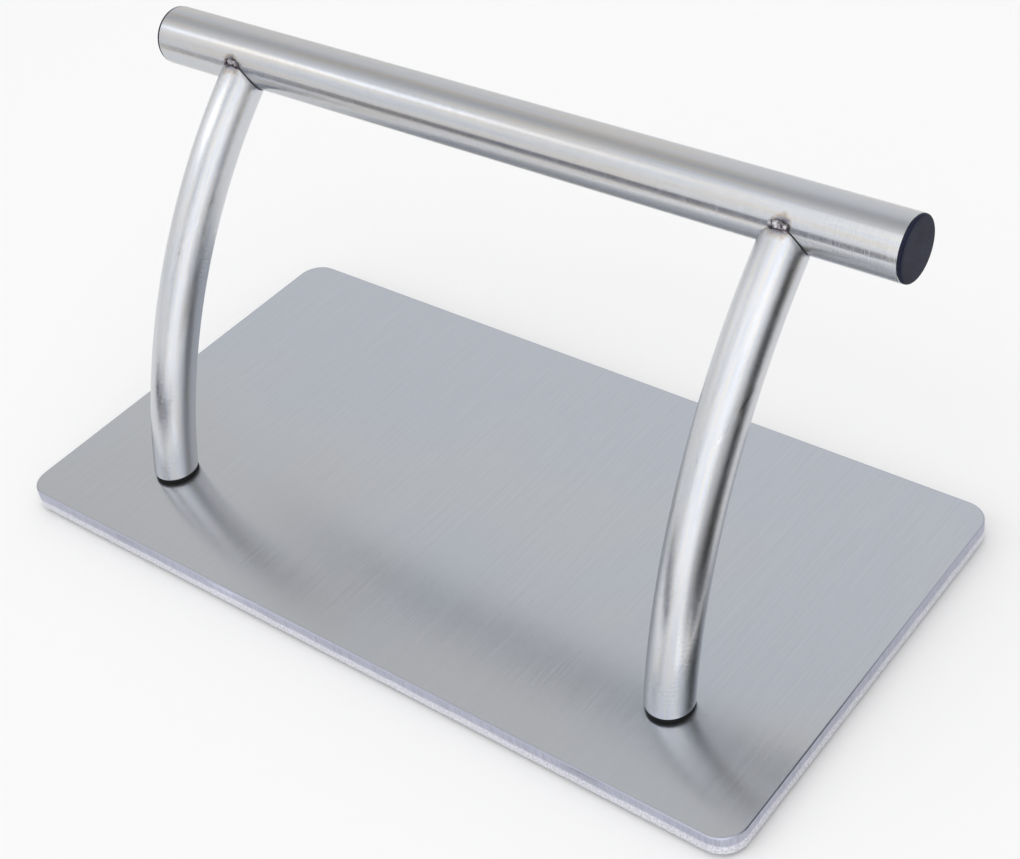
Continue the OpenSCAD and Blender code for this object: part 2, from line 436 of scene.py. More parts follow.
def shearedEdge():
    # cut edge of the sheet: a burnished, darker upper part and a torn, paler and grainy lower part, and a
    # painted highlight tone on the rim under the top face
    material, tree = newMaterial("shearedStainlessEdge")
    f = edgeFinish
    place = add(tree, "ShaderNodeTexCoord").outputs["Object"]
    height = add(tree, "ShaderNodeSeparateXYZ", {0: place}).outputs[2]
    wander = add(tree, "ShaderNodeTexNoise",
                 {"Vector": place, "Scale": f["wandersPerMetre"], "Detail": 2.0})
    level = add(tree, "ShaderNodeMath", {0: wander, 1: 2 * f["wander"], 2: height},
                operation="MULTIPLY_ADD")
    border = plateLow.z + f["split"] * plateSize.z + f["wander"]
    upper = add(tree, "ShaderNodeMapRange", {
        "Value": level, "From Min": border - f["borderSoft"], "From Max": border + f["borderSoft"]})
    stretch = add(tree, "ShaderNodeMapping", {"Vector": place, "Scale": f["streaksPerMetre"]})
    streaks = add(tree, "ShaderNodeTexNoise",
                  {"Vector": stretch, "Scale": 1.0, "Detail": 4.0, "Roughness": 0.7})
    specks = add(tree, "ShaderNodeTexNoise",
                 {"Vector": place, "Scale": f["specksPerMetre"], "Detail": 3.0, "Roughness": 0.7})
    torn = add(tree, "ShaderNodeValToRGB", {"Fac": specks}, f["torn"])
    burnished = add(tree, "ShaderNodeValToRGB", {"Fac": streaks}, f["burnished"])
    colour = add(tree, "ShaderNodeMix", {"Factor": upper, "A": torn, "B": burnished}, data_type="RGBA")
    # painted highlight: the rim under the top face takes one even colour
    rimHighlight = add(tree, "ShaderNodeMapRange", {
        "Value": height, "From Min": plateHigh.z - 1.3 * f["rim"], "From Max": plateHigh.z - 0.7 * f["rim"]})
    colour = add(tree, "ShaderNodeMix", {"Factor": rimHighlight, "A": colour, "B": linear(f["rimHighlightColour"])},
                 data_type="RGBA")
    low, high = f["roughness"]
    rough = add(tree, "ShaderNodeMapRange", {"Value": upper, "To Min": low, "To Max": high})
    relief = add(tree, "ShaderNodeMath", {0: streaks, 1: specks}, operation="ADD")
    bump = add(tree, "ShaderNodeBump",
               {"Height": relief, "Strength": f["relief"], "Distance": f["reliefDepth"]})
    shader = add(tree, "ShaderNodeBsdfPrincipled", {
        "Base Color": colour, "Metallic": 1.0, "Roughness": rough, "Normal": bump})
    add(tree, "ShaderNodeOutputMaterial", {"Surface": shader})
    return material


# values of one tube each: the lines round it, the streaks along it and the oxide round its welds
tubeFinish = {
    "leg": {
        "colours": ("#CDD0D7", "#D1D3D8", "#D4D3D3"), "roughness": 0.16,
        "lineGap": 0.45 * mm, "lineTone": 0.03, "lineDepth": 0.045 * mm, "tintReach": 7 * mm,
    },
    "bar": {
        "colours": ("#CACDD3", "#CECFD2", "#D0CECC"), "roughness": 0.21,
        "lineGap": 0.5 * mm, "lineTone": 0.008, "lineDepth": 0.17 * mm, "tintReach": 5 * mm,
    },
}
# values that every tube shares
tubeCommon = {
    "linesAcross": 12,          # how often a line breaks off on its way round, per metre
    "streaks": (9, 330, 1),     # per metre along and round the tube
    "roughnessSpread": 0.01,
    "smear": 1.0,
    "oxide": [(0.0, "#8F8988"), (0.3, "#BDBBC2"), (0.55, "#DED5CB"), (0.8, "#F3EEE6"), (1.0, "#FFFFFF")],
    "oxideStart": 6 * mm,
    "oxideSoft": 4 * mm,
    "oxideWander": 8 * mm,
    "wandersPerMetre": 160.0,
}


def polishedTube(name, f, weldPlaces):
    # centreless-polished stainless tube: faint lines round it smear reflections along it, faint warm
    # and cool streaks run along it, and a trace of straw and grey oxide stands round the welds
    material, tree = newMaterial(name)
    c = tubeCommon
    texture = add(tree, "ShaderNodeTexCoord")
    place, uv = texture.outputs["Object"], texture.outputs["UV"]
    stretch = add(tree, "ShaderNodeMapping",
                  {"Vector": uv, "Scale": (1 / f["lineGap"], c["linesAcross"], 1)})
    lines = add(tree, "ShaderNodeTexNoise",
                {"Vector": stretch, "Scale": 1.0, "Detail": 3.0, "Roughness": 0.6})
    drawn = add(tree, "ShaderNodeMapping", {"Vector": uv, "Scale": c["streaks"]})
    streaks = add(tree, "ShaderNodeTexNoise", {"Vector": drawn, "Scale": 1.0, "Detail": 2.0})
    tint = add(tree, "ShaderNodeValToRGB", {"Fac": streaks}, list(zip((0.4, 0.5, 0.6), f["colours"])))
    tone = add(tree, "ShaderNodeMapRange", {
        "Value": lines, **noiseRange,
        "To Min": 1 - f["lineTone"], "To Max": 1 + f["lineTone"]})
    lined = add(tree, "ShaderNodeVectorMath", {0: tint, "Scale": tone}, operation="SCALE")

    # distance to the nearest weld, starting from a value far beyond the oxide
    nearest = 1.0
    for point in weldPlaces:
        away = add(tree, "ShaderNodeVectorMath", {0: place, 1: point}, operation="DISTANCE")
        nearest = add(tree, "ShaderNodeMath", {0: nearest, 1: away}, operation="MINIMUM")
    wander = add(tree, "ShaderNodeTexNoise",
                 {"Vector": place, "Scale": c["wandersPerMetre"], "Detail": 3.0})
    edge = add(tree, "ShaderNodeMath", {0: wander, 1: c["oxideWander"], 2: nearest},
               operation="MULTIPLY_ADD")
    reach = add(tree, "ShaderNodeMapRange", {
        "Value": edge, "From Min": c["oxideStart"], "From Max": f["tintReach"] + c["oxideSoft"]})
    rings = add(tree, "ShaderNodeValToRGB", {"Fac": reach}, c["oxide"])
    colour = add(tree, "ShaderNodeMix", {"Factor": 1.0, "A": lined, "B": rings},
                 data_type="RGBA", blend_type="MULTIPLY")

    rough = add(tree, "ShaderNodeMapRange", {
        "Value": lines, **noiseRange,
        "To Min": f["roughness"] - c["roughnessSpread"], "To Max": f["roughness"] + c["roughnessSpread"]})
    bump = add(tree, "ShaderNodeBump", {"Height": lines, "Distance": f["lineDepth"]})
    tangent = add(tree, "ShaderNodeTangent", direction_type="UV_MAP", uv_map="UVMap")
    shader = add(tree, "ShaderNodeBsdfPrincipled", {
        "Base Color": colour, "Metallic": 1.0, "Roughness": rough, "Anisotropic": c["smear"],
        "Normal": bump, "Tangent": tangent})
    add(tree, "ShaderNodeOutputMaterial", {"Surface": shader})
    return material


weldFinish = {
    "clouds": [(0.38, "#4C4249"), (0.5, "#8E8A91"), (0.62, "#CECBCE")],
    "cloudsPerMetre": 420.0,
    # painted shade: the near-black colour given to the bead's creases
    "creaseShade": "#1C181C",
    "creaseShadeFrom": (0.45, 0.52),     # pointiness where a crease ends and a ripple begins
    "roughness": (0.45, 0.25),
    "relief": 0.3,
    "reliefDepth": 0.1 * mm,
}


def weldMetal():
    # stainless weld bead as laid: bright ripples, painted near-black shade in the creases, purple-brown
    # clouds
    material, tree = newMaterial("oxidisedWeldBeadCreaseShade")
    f = weldFinish
    place = add(tree, "ShaderNodeTexCoord").outputs["Object"]
    clouds = add(tree, "ShaderNodeTexNoise",
                 {"Vector": place, "Scale": f["cloudsPerMetre"], "Detail": 4.0, "Roughness": 0.6})
    # painted shade: where the bead is hollow (low pointiness) its colour goes near black
    pointy = add(tree, "ShaderNodeNewGeometry").outputs["Pointiness"]
    low, high = f["creaseShadeFrom"]
    creaseShade = add(tree, "ShaderNodeMapRange", {"Value": pointy, "From Min": low, "From Max": high})
    metal = add(tree, "ShaderNodeValToRGB", {"Fac": clouds}, f["clouds"])
    colour = add(tree, "ShaderNodeMix", {"Factor": creaseShade, "A": linear(f["creaseShade"]), "B": metal},
                 data_type="RGBA")
    low, high = f["roughness"]
    rough = add(tree, "ShaderNodeMapRange", {
        "Value": clouds, **noiseRange, "To Min": low, "To Max": high})
    bump = add(tree, "ShaderNodeBump",
               {"Height": clouds, "Strength": f["relief"], "Distance": f["reliefDepth"]})
    shader = add(tree, "ShaderNodeBsdfPrincipled", {
        "Base Color": colour, "Metallic": 1.0, "Roughness": rough, "Normal": bump})
    add(tree, "ShaderNodeOutputMaterial", {"Surface": shader})
    return material


zincFinish = {
    "clouds": [(0.35, "#A9ABB2"), (0.65, "#C8C9C6")],
    "cloudsPerMetre": 220.0,
    "roughness": (0.26, 0.4),
    "relief": 0.1,
    "reliefDepth": 0.05 * mm,
}


def zincSteel():
    # zinc-plated steel of the screws and the tapped inserts: bright, a little mottled
    material, tree = newMaterial("zincPlatedSteel")
    f = zincFinish
    place = add(tree, "ShaderNodeTexCoord").outputs["Object"]
    clouds = add(tree, "ShaderNodeTexNoise",
                 {"Vector": place, "Scale": f["cloudsPerMetre"], "Detail": 4.0, "Roughness": 0.6})
    colour = add(tree, "ShaderNodeValToRGB", {"Fac": clouds}, f["clouds"])
    low, high = f["roughness"]
    rough = add(tree, "ShaderNodeMapRange", {
        "Value": clouds, **noiseRange, "To Min": low, "To Max": high})
    bump = add(tree, "ShaderNodeBump",
               {"Height": clouds, "Strength": f["relief"], "Distance": f["reliefDepth"]})
    shader = add(tree, "ShaderNodeBsdfPrincipled", {
        "Base Color": colour, "Metallic": 1.0, "Roughness": rough, "Normal": bump})
    add(tree, "ShaderNodeOutputMaterial", {"Surface": shader})
    return material


mouldedFinish = {
    # nitrile rubber: near black and matt, with a fine sandy mould texture
    "rubber": {
        "name": "mouldedBlackRubber", "colours": [(0.37, "#08080A"), (0.67, "#111113")],
        "ior": 1.52, "gloss": 0.25, "roughness": (0.6, 0.78),
        "grain": 0.4 * mm, "cloud": 8 * mm, "relief": 0.35, "reliefDepth": 0.05 * mm,
    },
    # polyethylene: dark slate blue with a low gloss and faint clouds
    "plastic": {
        "name": "mouldedSlatePolyethylene", "colours": [(0.37, "#1B1D31"), (0.67, "#24273C")],
        "ior": 1.51, "gloss": 0.1, "roughness": (0.42, 0.55),
        "grain": 0.8 * mm, "cloud": 11 * mm, "relief": 0.2, "reliefDepth": 0.05 * mm,
    },
}


def moulded(f):
    # rubber or plastic: fine grain over slow clouds, both in the colour and in the relief
    material, tree = newMaterial(f["name"])
    place = add(tree, "ShaderNodeTexCoord").outputs["Object"]
    grain = add(tree, "ShaderNodeTexNoise",
                {"Vector": place, "Scale": 1 / f["grain"], "Detail": 3.0, "Roughness": 0.6})
    cloud = add(tree, "ShaderNodeTexNoise", {"Vector": place, "Scale": 1 / f["cloud"], "Detail": 3.0})
    colour = add(tree, "ShaderNodeValToRGB", {"Fac": cloud}, f["colours"])
    low, high = f["roughness"]
    rough = add(tree, "ShaderNodeMapRange", {
        "Value": grain, **noiseRange, "To Min": low, "To Max": high})
    relief = add(tree, "ShaderNodeMath", {0: grain, 1: cloud}, operation="ADD")
    bump = add(tree, "ShaderNodeBump",
               {"Height": relief, "Strength": f["relief"], "Distance": f["reliefDepth"]})
    shader = add(tree, "ShaderNodeBsdfPrincipled", {
        "Base Color": colour, "Roughness": rough, "IOR": f["ior"], "Specular IOR Level": f["gloss"],
        "Normal": bump})
    add(tree, "ShaderNodeOutputMaterial", {"Surface": shader})
    return material


plateSet = {
    "corner": 12.5 * mm,
    "topRound": 0.8 * mm,
    "bottomRound": 0.6 * mm,
    "cornerSteps": 24,
    "bottomSteps": 6,
    "topSteps": 8,
    "flatNormal": 0.999,        # a face whose normal rises more than this is flat
    "holeRadius": 4.5 * mm,
    "seatRadius": 8.1 * mm,
    "seatDepth": 0.6 * mm,      # straight part of the countersink
    "holeSteps": 64,
    "overshoot": 2 * mm,        # how far the cutter stands out of the plate
    "sharpAngle": 35,           # degrees
}


def plateOutline(inset, z):
    corner = plateSet["corner"] - inset
    halfX = plateSize.x / 2 - inset
    halfY = plateSize.y / 2 - inset
    points = []
    for turnIndex, (sx, sy) in enumerate(((1, 1), (-1, 1), (-1, -1), (1, -1))):
        centre = (sx * (halfX - corner), sy * (halfY - corner))
        for px, py in arc(centre, corner, 90 * turnIndex, 90 * turnIndex + 90, plateSet["cornerSteps"]):
            points.append(Vector((px, py, z)))
    return points


def makePlate(sheet, shearedSide):
    rings = []
    low, high = plateSet["bottomRound"], plateSet["topRound"]
    for px, pz in arc((0, 0), low, -90, 0, plateSet["bottomSteps"]):
        rings.append(plateOutline(low - px, plateLow.z + low + pz))
    for px, pz in arc((0, 0), high, 0, 90, plateSet["topSteps"]):
        rings.append(plateOutline(high - px, plateHigh.z - high + pz))
    mesh = meshFromRings("plate", rings)
    bm = bmesh.new()
    bm.from_mesh(mesh)
    rims = [line for line in bm.edges if line.is_boundary]
    half = plateLow.z + plateSize.z / 2
    bmesh.ops.contextual_create(bm, geom=[line for line in rims if line.verts[0].co.z > half])
    bmesh.ops.contextual_create(bm, geom=[line for line in rims if line.verts[0].co.z < half])
    bmesh.ops.recalc_face_normals(bm, faces=bm.faces)
    bm.to_mesh(mesh)
    bm.free()
    plate = addObject("plate", mesh)

    # screw holes, countersunk from below
    seat, hole, depth = plateSet["seatRadius"], plateSet["holeRadius"], plateSet["seatDepth"]
    bottom, top = -plateSet["overshoot"], plateSize.z + plateSet["overshoot"]
    profile = [(0, bottom), (seat, bottom), (seat, depth), (hole, depth + seat - hole), (hole, top), (0, top)]
    for side in (-1, 1):
        place = Matrix.Translation((side * legX, footY, plateLow.z))
        cutter = addObject("cutter", meshFromRings("cutter", turned(profile, plateSet["holeSteps"], place)))
        cut = plate.modifiers.new("hole", "BOOLEAN")
        cut.operation = "DIFFERENCE"
        cut.solver = "EXACT"
        cut.object = cutter
        applyModifiers(plate)
        bpy.data.objects.remove(cutter)

    # flat faces are brushed and keep their own normals; sides and roundings are sheared and smooth
    setMaterial(plate, sheet, shearedSide)
    mesh = plate.data
    bm = bmesh.new()
    bm.from_mesh(mesh)
    uvLayer = bm.loops.layers.uv.verify()
    for face in bm.faces:
        flat = abs(face.normal.z) > plateSet["flatNormal"]
        face.smooth = not flat
        face.material_index = 0 if flat else 1
        for loop in face.loops:
            loop[uvLayer].uv = (loop.vert.co.x, loop.vert.co.y)
    for line in bm.edges:
        if len(line.link_faces) == 2:
            a, b = line.link_faces
            soft = line.calc_face_angle(0) < math.radians(plateSet["sharpAngle"])
            line.smooth = a.smooth and b.smooth and soft
    bm.to_mesh(mesh)
    bm.free()
    finishPiece(plate, "base_plate")


def newTree(name, floats, ints, geometry=()):
    # an empty geometry tree with named inputs, and the identifiers that a modifier sets them by
    tree = bpy.data.node_groups.new(name, "GeometryNodeTree")
    sockets = {}
    kinds = {"Geometry": geometry, "Float": floats, "Int": ints, "Material": ("Material",)}
    for kind, names in kinds.items():
        for label in names:
            socket = tree.interface.new_socket(label, in_out="INPUT", socket_type=f"NodeSocket{kind}")
            sockets[label] = socket.identifier
    tree.interface.new_socket("Geometry", in_out="OUTPUT", socket_type="NodeSocketGeometry")
    return tree, sockets


def runTree(thing, tree, identifiers, values):
    # the tree's result becomes the piece's plain mesh
    modifier = thing.modifiers.new(tree.name, "NODES")
    modifier.node_group = tree
    for key, value in values.items():
        modifier[identifiers[key]] = value
    return applyModifiers(thing)


def bentTubeTree():
    # a grid folded into the wall of a bent tube: up the outside, down the inside, cut level at the
    # foot and coped to the bar at the top
    floats = ("Place X", "Centre Y", "Centre Z", "Bend Radius", "Foot Height", "Top Lean",
              "Saddle Radius", "Tube Radius", "Wall")
    tree, identifiers = newTree("bentTube", floats, ("Around", "Along"))
    given = add(tree, "NodeGroupInput").outputs
    value = {name: given[name] for name in floats + ("Around", "Along")}
    value["index"] = add(tree, "GeometryNodeInputIndex")

    # each step is a name, an operation and what it works on; names that are not steps are inputs
    steps = (
        ("columns", "ADD", "Around", 1),
        ("layers", "ADD", "Along", 1),
        ("rows", "MULTIPLY", "layers", 2),
        ("allRows", "ADD", "rows", 1),
        # place in the grid: column runs round the tube, looped runs up the outside and down the inside
        ("shifted", "ADD", "index", 0.5),
        ("share", "DIVIDE", "shifted", "allRows"),
        ("column", "FLOOR", "share", 0),
        ("before", "MULTIPLY", "column", "allRows"),
        ("row", "SUBTRACT", "index", "before"),
        ("looped", "FLOORED_MODULO", "row", "rows"),
        ("halfway", "ADD", "Along", 0.5),
        ("inner", "GREATER_THAN", "looped", "halfway"),
        ("lastRow", "SUBTRACT", "rows", 1),
        ("down", "SUBTRACT", "lastRow", "looped"),
        ("difference", "SUBTRACT", "down", "looped"),
        ("turn", "MULTIPLY", "inner", "difference"),
        ("step", "ADD", "looped", "turn"),
        ("climb", "DIVIDE", "step", "Along"),
        # place round the tube
        ("sector", "DIVIDE", "column", "Around"),
        ("angle", "MULTIPLY", "sector", tau),
        ("thinner", "MULTIPLY", "inner", "Wall"),
        ("radius", "SUBTRACT", "Tube Radius", "thinner"),
        ("sine", "SINE", "angle", 0),
        ("cosine", "COSINE", "angle", 0),
        ("across", "MULTIPLY", "radius", "sine"),
        ("outward", "MULTIPLY", "radius", "cosine"),
        ("swing", "ADD", "Bend Radius", "outward"),
        # the line starts where it meets the foot's level and ends where it meets the saddle
        ("startSine", "DIVIDE", "Foot Height", "swing"),
        ("start", "ARCSINE", "startSine", 0),
        ("swingSquare", "MULTIPLY", "swing", "swing"),
        ("bendSquare", "MULTIPLY", "Bend Radius", "Bend Radius"),
        ("saddleSquare", "MULTIPLY", "Saddle Radius", "Saddle Radius"),
        ("bothSquares", "ADD", "swingSquare", "bendSquare"),
        ("squares", "SUBTRACT", "bothSquares", "saddleSquare"),
        ("product", "MULTIPLY", "swing", "Bend Radius"),
        ("twice", "MULTIPLY", "product", 2),
        ("endCosine", "DIVIDE", "squares", "twice"),
        ("saddleLean", "ARCCOSINE", "endCosine", 0),
        ("end", "SUBTRACT", "Top Lean", "saddleLean"),
        ("length", "SUBTRACT", "end", "start"),
        ("climbed", "MULTIPLY", "climb", "length"),
        ("lean", "ADD", "start", "climbed"),
        # the point itself, and its place on the developed surface
        ("leanSine", "SINE", "lean", 0),
        ("leanCosine", "COSINE", "lean", 0),
        ("forward", "MULTIPLY", "swing", "leanCosine"),
        ("upward", "MULTIPLY", "swing", "leanSine"),
        ("x", "ADD", "Place X", "across"),
        ("y", "SUBTRACT", "Centre Y", "forward"),
        ("z", "ADD", "Centre Z", "upward"),
        ("u", "MULTIPLY", "lean", "Bend Radius"),
        ("v", "MULTIPLY", "angle", "Tube Radius"),
    )
    for name, operation, a, b in steps:
        inputs = {0: value.get(a, a), 1: value.get(b, b)}
        value[name] = add(tree, "ShaderNodeMath", inputs, operation=operation)

    grid = add(tree, "GeometryNodeMeshGrid",
               {"Vertices X": value["columns"], "Vertices Y": value["allRows"]})
    place = add(tree, "ShaderNodeCombineXYZ", {0: value["x"], 1: value["y"], 2: value["z"]})
    uv = add(tree, "ShaderNodeCombineXYZ", {0: value["u"], 1: value["v"]})
    stored = add(tree, "GeometryNodeStoreNamedAttribute", {"Geometry": grid},
                 data_type="FLOAT2", domain="CORNER")
    stored.inputs["Name"].default_value = "UVMap"
    tree.links.new(uv.outputs[0], stored.inputs["Value"])
    moved = add(tree, "GeometryNodeSetPosition", {"Geometry": stored, "Position": place})
    merged = add(tree, "GeometryNodeMergeByDistance", {"Geometry": moved, "Distance": 2 * together})
    real = add(tree, "GeometryNodeRealizeInstances", {"Geometry": merged})
    painted = add(tree, "GeometryNodeSetMaterial", {"Geometry": real, "Material": given["Material"]})
    add(tree, "NodeGroupOutput", {0: painted})
    return tree, identifiers


def makeLegs(materials):
    tree, identifiers = bentTubeTree()
    for side, label in ((-1, "left"), (1, "right")):
        name = f"leg_tube_{label}"
        leg = runTree(addObject(name, bpy.data.meshes.new(name)), tree, identifiers, {
            "Place X": side * legX, "Centre Y": bendY, "Centre Z": bendZ, "Bend Radius": bendRadius,
            "Foot Height": footZ - bendZ, "Top Lean": topLean,
            "Saddle Radius": barRadius + legSet["saddleGap"], "Tube Radius": legRadius,
            "Wall": legSet["wall"], "Around": legSet["around"], "Along": legSet["along"],
            "Material": materials[label]})
        bm = bmesh.new()
        bm.from_mesh(leg.data)
        bmesh.ops.recalc_face_normals(bm, faces=bm.faces)
        bm.to_mesh(leg.data)
        bm.free()
        bevel = leg.modifiers.new("edges", "BEVEL")
        bevel.width = legSet["edgeRound"]
        bevel.segments = legSet["edgeSteps"]
        bevel.limit_method = "ANGLE"
        bevel.angle_limit = math.radians(legSet["sharpAngle"])
        applyModifiers(leg)
        smoothShade(leg.data, legSet["sharpAngle"])
        setMaterial(leg, materials[label])
        finishPiece(leg, f"leg_{label}")


barSet = {
    "wall": 1.5 * mm,
    "edgeRound": 0.35 * mm,
    "edgeSteps": 5,
    "around": 160,
    "lengthSteps": 60,
    "sharpAngle": 50,           # degrees
}


def makeBar(material):
    # a closed profile: along the outside, over the right end, back through the bore, over the left end
    outer, inner, half = barRadius, barRadius - barSet["wall"], tubeEnd
    e, edgeSteps = barSet["edgeRound"], barSet["edgeSteps"]
    profile = []
    for i in range(barSet["lengthSteps"] + 1):
        profile.append((outer, -half + e + (2 * half - 2 * e) * i / barSet["lengthSteps"]))
    profile += arc((outer - e, half - e), e, 0, 90, edgeSteps)[1:]
    profile += [(inner, half), (inner, -half)]
    profile += arc((outer - e, -half + e), e, -90, 0, edgeSteps)
    place = Matrix.Translation(barCentre) @ Matrix.Rotation(math.pi / 2, 4, "Y")
    steps = barSet["around"]

    def developed(a, b):
        return profile[a][1], outer * tau * b / steps

    ringPiece("bar_tube", turned(profile, steps, place), barSet["sharpAngle"], material,
              "foot_bar", developed)


plugSet = {
    "flangeRadius": 13.85 * mm,
    "edgeRound": 1.0 * mm,
    "edgeSteps": 6,
    "faceRings": (0.75, 0.4),   # rings on the flange's face, as shares of its radius
    "seatRound": 0.15 * mm,     # on the flange's side towards the tube
    "bodyRadius": 12.15 * mm,
    "wall": 1.5 * mm,
    "lead": (0.3 * mm, 0.6 * mm),   # chamfer at the body's inner end
    "ribRadius": 12.47 * mm,
    "ribs": 3,
    "ribPitch": 3 * mm,
    "ribWidth": 1 * mm,
    "ribFlat": (0.35 * mm, 0.75 * mm),
    "around": 96,
    "sharpAngle": 40,           # degrees
}


def makePlugs(material):
    for side, label in ((-1, "left"), (1, "right")):
        low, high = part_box(f"bar_end_plug_{label}")
        length = high.x - low.x
        flange = (high.x if side > 0 else -low.x) - tubeEnd
        depth = length - flange
        r, e, body = plugSet["flangeRadius"], plugSet["edgeRound"], plugSet["bodyRadius"]
        seat, rib = plugSet["seatRound"], plugSet["ribRadius"]
        hollow = body - plugSet["wall"]
        leadIn, leadUp = plugSet["lead"]
        ribLow, ribHigh = plugSet["ribFlat"]
        profile = [(0, 0), (hollow, 0), (hollow, -depth), (body - leadIn, -depth), (body, -depth + leadUp)]
        for i in range(plugSet["ribs"], 0, -1):
            base = -i * plugSet["ribPitch"]
            profile += [(body, base), (rib, base + ribLow), (rib, base + ribHigh),
                        (body, base + plugSet["ribWidth"])]
        profile += [(body, 0), (r - seat, 0), (r, seat)]
        profile += arc((r - e, flange - e), e, 0, 90, plugSet["edgeSteps"])
        profile += [(r * share, flange) for share in plugSet["faceRings"]] + [(0, flange)]
        place = (Matrix.Translation((side * tubeEnd, barCentre.y, barCentre.z))
                 @ Matrix.Rotation(side * math.pi / 2, 4, "Y"))
        ringPiece(f"end_plug_{label}", turned(profile, plugSet["around"], place), plugSet["sharpAngle"],
                  material, f"bar_end_plug_{label}")


rubberSet = {
    "gasketHole": 4.5 * mm,
    "edgeRound": 0.45 * mm,
    "edgeSteps": 5,
    "around": 72,
    "sharpAngle": 50,           # degrees
}


def makeDisc(name, node, hole, material):
    # a disc that fills a node's box, its outer edges rounded; a hole of radius 0 leaves it whole
    size = span(node)
    radius, thickness, edge = size.x / 2, size.z, rubberSet["edgeRound"]
    profile = [(hole, 0)]
    profile += arc((radius - edge, edge), edge, -90, 0, rubberSet["edgeSteps"])
    profile += arc((radius - edge, thickness - edge), edge, 0, 90, rubberSet["edgeSteps"])
    profile.append((hole, thickness))
    if hole:
        profile.append((hole, 0))
    place = Matrix.Translation((middle(node).x, middle(node).y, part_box(node)[0].z))
    ringPiece(name, turned(profile, rubberSet["around"], place), rubberSet["sharpAngle"], material,
              node)


def makeRubber(material):
    for label in ("left", "right"):
        makeDisc(f"gasket_{label}", f"leg_gasket_{label}", rubberSet["gasketHole"], material)
    for end in ("front", "back"):
        for label in ("left", "right"):
            makeDisc(f"pad_{end}_{label}", f"foot_pad_{end}_{label}", 0, material)


screwSet = {
    "headRadius": 8 * mm,
    "headRound": 0.1 * mm,
    "rim": 0.4 * mm,
    "socketWidth": 5 * mm,
    "socketDepth": 3 * mm,
    "socketLead": 0.25 * mm,
    "radius": 4 * mm,
    "tip": 0.8 * mm,
    "plainShank": 1.0 * mm,     # between the head's cone and the thread
    "pitch": 1.25 * mm,
    "threadDepth": 0.65 * mm,
    "threadSteps": 8,           # rings in a pitch
    "flank": 2.2,               # how steeply the notch falls
    "around": 60,
    "sharpAngle": 28,           # degrees
}


def makeScrews(material):
    # profile from the middle of the socket, over the head's face and cone, up the shank to the tip
    s = screwSet
    r, head, edge, lead = s["radius"], s["headRadius"], s["headRound"], s["socketLead"]
    cone = s["rim"] + head - r
    hexagon = s["socketWidth"] / 2
    hexagonRings = (1, 2)       # rings of the profile that are hexagons

    for label in ("left", "right"):
        node = f"fixing_screw_{label}"
        length = span(node).z
        profile = [(0, s["socketDepth"]), (hexagon, s["socketDepth"]), (hexagon, lead), (hexagon + lead, 0),
                   (head - edge, 0), (head, edge), (head, s["rim"]), (r, cone)]
        plain = len(profile)
        threadStart, threadEnd = cone + s["plainShank"], length - s["tip"]
        count = int((threadEnd - threadStart) / s["pitch"] * s["threadSteps"])
        for i in range(count + 1):
            profile.append((r, threadStart + (threadEnd - threadStart) * i / count))
        profile += [(r - s["tip"], length), (0, length)]

        def radiusAt(index, radius, a):
            if index in hexagonRings:
                inSector = (a % (tau / 6)) - tau / 12
                return radius / math.cos(inSector)
            if plain <= index < len(profile) - 2:
                z = profile[index][1]
                phase = (z / s["pitch"] - a / tau) % 1
                notch = min(1, s["flank"] * (1 - abs(2 * phase - 1)))
                fade = min(1, (z - threadStart) / s["pitch"], (threadEnd - z) / s["pitch"])
                return radius - s["threadDepth"] * notch * max(0, fade)
            return radius

        place = Matrix.Translation((middle(node).x, footY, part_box(node)[0].z))
        ringPiece(f"screw_{label}", turned(profile, s["around"], place, radiusAt), s["sharpAngle"],
                  material, node)


weldSet = {
    "ripples": 4,
    "step": math.radians(11),   # between ripples, round the leg
    "radius": 2.3 * mm,
    "smallest": 0.82,           # of a full ripple
    "voxel": 0.16 * mm,
    "roughness": 0.35 * mm,
    "lumpsPerMetre": 420.0,
    "seed": 4,                  # of the first weld; each weld takes the next one
}


def seamPoint(side, angle, face):
    # middle of the seam between leg and bar, at an angle round the leg from its front or rear line
    along = Vector((0, math.sin(topLean), math.cos(topLean)))
    outward = Vector((0, -math.cos(topLean), math.sin(topLean)))
    out = legRadius * math.cos(angle)
    down = math.sqrt(barRadius ** 2 - out ** 2)
    start = Vector((side * legX + legRadius * math.sin(angle), barCentre.y, barCentre.z))
    return start - face * out * outward - down * along


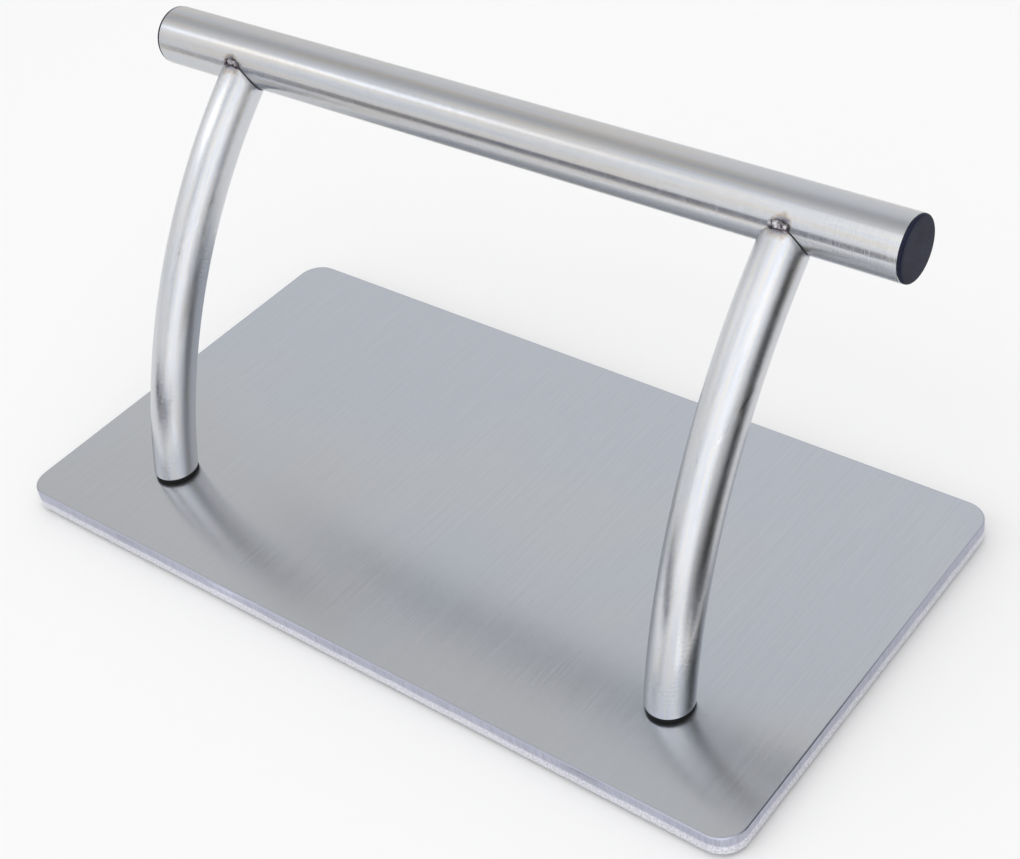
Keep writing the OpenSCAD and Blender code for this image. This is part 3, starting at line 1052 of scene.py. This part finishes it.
def weldTree():
    # overlapping ripples on points, melted into one bead and roughened
    floats = ("Ripple Radius", "Voxel", "Roughness")
    tree, identifiers = newTree("weldBead", floats, ("Seed",), ("Points",))
    given = add(tree, "NodeGroupInput").outputs
    ball = add(tree, "GeometryNodeMeshIcoSphere", {"Radius": given["Ripple Radius"], "Subdivisions": 4})
    size = add(tree, "FunctionNodeRandomValue",
               {"Min": weldSet["smallest"], "Max": 1.0, "Seed": given["Seed"]}, data_type="FLOAT")
    ripples = add(tree, "GeometryNodeInstanceOnPoints",
                  {"Points": given["Points"], "Instance": ball, "Scale": size})
    melted = add(tree, "GeometryNodeRealizeInstances", {"Geometry": ripples})
    volume = add(tree, "GeometryNodeMeshToVolume", {"Mesh": melted, "Voxel Size": given["Voxel"]},
                 resolution_mode="VOXEL_SIZE")
    skin = add(tree, "GeometryNodeVolumeToMesh",
               {"Volume": volume, "Voxel Size": given["Voxel"], "Threshold": 0.1},
               resolution_mode="VOXEL_SIZE")
    place = add(tree, "GeometryNodeInputPosition")
    noise = add(tree, "ShaderNodeTexNoise",
                {"Vector": place, "Scale": weldSet["lumpsPerMetre"], "Detail": 3.0})
    centred = add(tree, "ShaderNodeMath", {0: noise, 1: 0.5}, operation="SUBTRACT")
    doubled = add(tree, "ShaderNodeMath", {0: centred, 1: 2.0}, operation="MULTIPLY")
    rough = add(tree, "ShaderNodeMath", {0: doubled, 1: given["Roughness"]}, operation="MULTIPLY")
    normal = add(tree, "GeometryNodeInputNormal")
    offset = add(tree, "ShaderNodeVectorMath", {0: normal, "Scale": rough}, operation="SCALE")
    moved = add(tree, "GeometryNodeSetPosition", {"Geometry": skin, "Offset": offset})
    smooth = add(tree, "GeometryNodeSetShadeSmooth", {"Geometry": moved})
    real = add(tree, "GeometryNodeRealizeInstances", {"Geometry": smooth})
    painted = add(tree, "GeometryNodeSetMaterial", {"Geometry": real, "Material": given["Material"]})
    add(tree, "NodeGroupOutput", {0: painted})
    return tree, identifiers


def makeWelds(material):
    tree, identifiers = weldTree()
    seed = weldSet["seed"]
    for face, end in ((-1, "front"), (1, "rear")):
        for side, label in ((-1, "left"), (1, "right")):
            name = f"weld_{end}_{label}"
            places = []
            for i in range(weldSet["ripples"]):
                angle = (i - (weldSet["ripples"] - 1) / 2) * weldSet["step"]
                places.append(seamPoint(side, angle, face))
            mesh = bpy.data.meshes.new(name)
            mesh.from_pydata(places, [], [])
            weld = runTree(addObject(name, mesh), tree, identifiers, {
                "Ripple Radius": weldSet["radius"], "Voxel": weldSet["voxel"],
                "Roughness": weldSet["roughness"], "Seed": seed, "Material": material})
            setMaterial(weld, material)
            finishPiece(weld, f"tack_weld_{end}_{label}")
            seed += 1


makeCamera()
makeStudio()
print("camera and studio made")

weldPlaces = {}
legSteel = {}
for side, label in ((-1, "left"), (1, "right")):
    weldPlaces[label] = [seamPoint(side, 0, face) for face in (-1, 1)]
    legSteel[label] = polishedTube(f"polishedStainlessTube_{label}", tubeFinish["leg"], weldPlaces[label])
barSteel = polishedTube("satinStainlessTube", tubeFinish["bar"], weldPlaces["left"] + weldPlaces["right"])
zinc = zincSteel()
makePlate(brushedSheet(), shearedEdge())
print("plate made")
makeLegs(legSteel)
print("legs made")
makeBar(barSteel)
makePlugs(moulded(mouldedFinish["plastic"]))
print("bar and plugs made")
makeRubber(moulded(mouldedFinish["rubber"]))
makeScrews(zinc)
print("gaskets, pads and screws made")
makeWelds(weldMetal())
print("welds made")

# the inserts are hidden in the legs' feet and keep their CAD shape
for label in ("left", "right"):
    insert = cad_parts[f"leg_insert_{label}"]
    setMaterial(insert, zinc)
